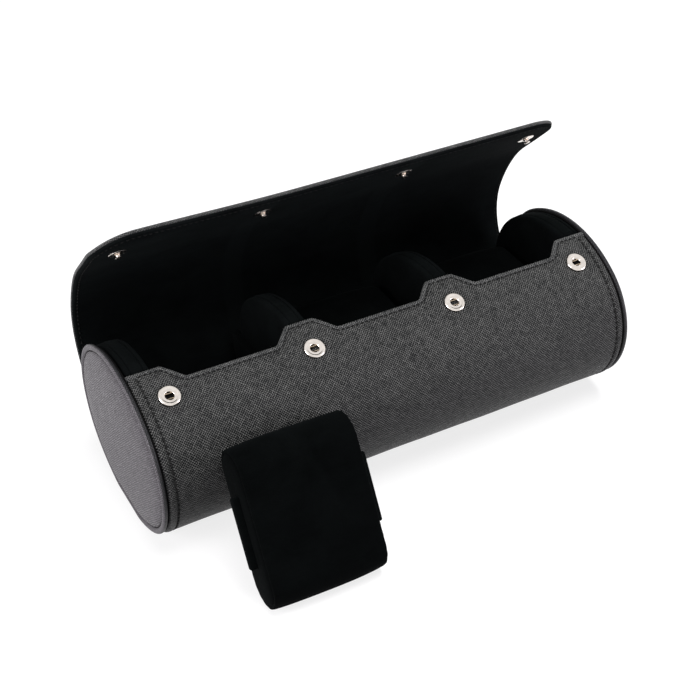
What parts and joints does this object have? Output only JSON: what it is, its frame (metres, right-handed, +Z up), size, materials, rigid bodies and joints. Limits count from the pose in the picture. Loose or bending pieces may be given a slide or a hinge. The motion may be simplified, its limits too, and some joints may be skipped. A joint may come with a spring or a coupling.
{
  "type": "watch travel case",
  "caption": "Oval leather roll case for wrist watches: padded ends, suede bays with lift-out cushions, and a snap-down flap lid hinged by its own leather.",
  "frame": {"origin": "middle of the flat that the case stands on", "axes": "+X along the tube towards its right-hand end, -Y towards the front edge with the snaps, +Z up"},
  "size_m": [0.2498, 0.1623, 0.1323],
  "materials": {
    "leather": "cross-hatched grain, charcoal black",
    "suede": "soft black suede",
    "cushion": "soft black suede over foam",
    "board": "suede-covered board",
    "nickel": "polished nickel",
    "spring": "dark spring steel"
  },
  "bodies": {
    "case": {"body_wrap": "leather", "body_lining": "suede", "snap_sockets": "nickel", "snap_springs": "spring", "drum_left": "suede", "drum_right": "suede", "divider_left": "suede", "divider_right": "suede", "cap_left": "leather", "cap_right": "leather", "cap_ring_left": "leather", "cap_ring_right": "leather"},
    "back_panel": {"flap_back": "leather", "flap_back_lining": "suede"},
    "mid_panel": {"flap_mid": "leather", "flap_mid_lining": "suede"},
    "front_panel": {"flap_front": "leather", "flap_front_lining": "suede", "snap_studs": "nickel", "snap_caps": "nickel"},
    "cushion_front": {"front_pillow": "cushion", "front_board": "board"},
    "cushion_mid": {"mid_pillow": "cushion", "mid_board": "board"},
    "cushion_right": {"right_pillow": "cushion", "right_board": "board"}
  },
  "joints": [
    {"name": "flap_fold", "type": "hinge", "parent": "case", "child": "back_panel", "pos_m": [0, 0.04674, 0.02837], "axis": [-1, 0, 0], "range_deg": [-36, 27]},
    {"name": "mid_fold", "type": "hinge", "parent": "back_panel", "child": "mid_panel", "pos_m": [0, 0.05754, 0.08009], "axis": [-1, 0, 0], "range_deg": [-9, 6.75]},
    {"name": "panel_fold", "type": "hinge", "parent": "mid_panel", "child": "front_panel", "pos_m": [0, 0.03324, 0.1112], "axis": [-1, 0, 0], "range_deg": [-23, 17.25]},
    {"name": "front_cushion_lift", "type": "slide", "parent": "case", "child": "cushion_front", "axis": [0, 0, 1], "range_m": [0, 0.05]},
    {"name": "mid_cushion_lift", "type": "slide", "parent": "case", "child": "cushion_mid", "axis": [0, 0, 1], "range_m": [0, 0.014]},
    {"name": "right_cushion_lift", "type": "slide", "parent": "case", "child": "cushion_right", "axis": [0, 0, 1], "range_m": [0, 0.014]}
  ],
  "couplings": [
    {"joint": "mid_fold", "follows": "flap_fold", "ratio": 0.25},
    {"joint": "panel_fold", "follows": "flap_fold", "ratio": 0.63889}
  ]
}
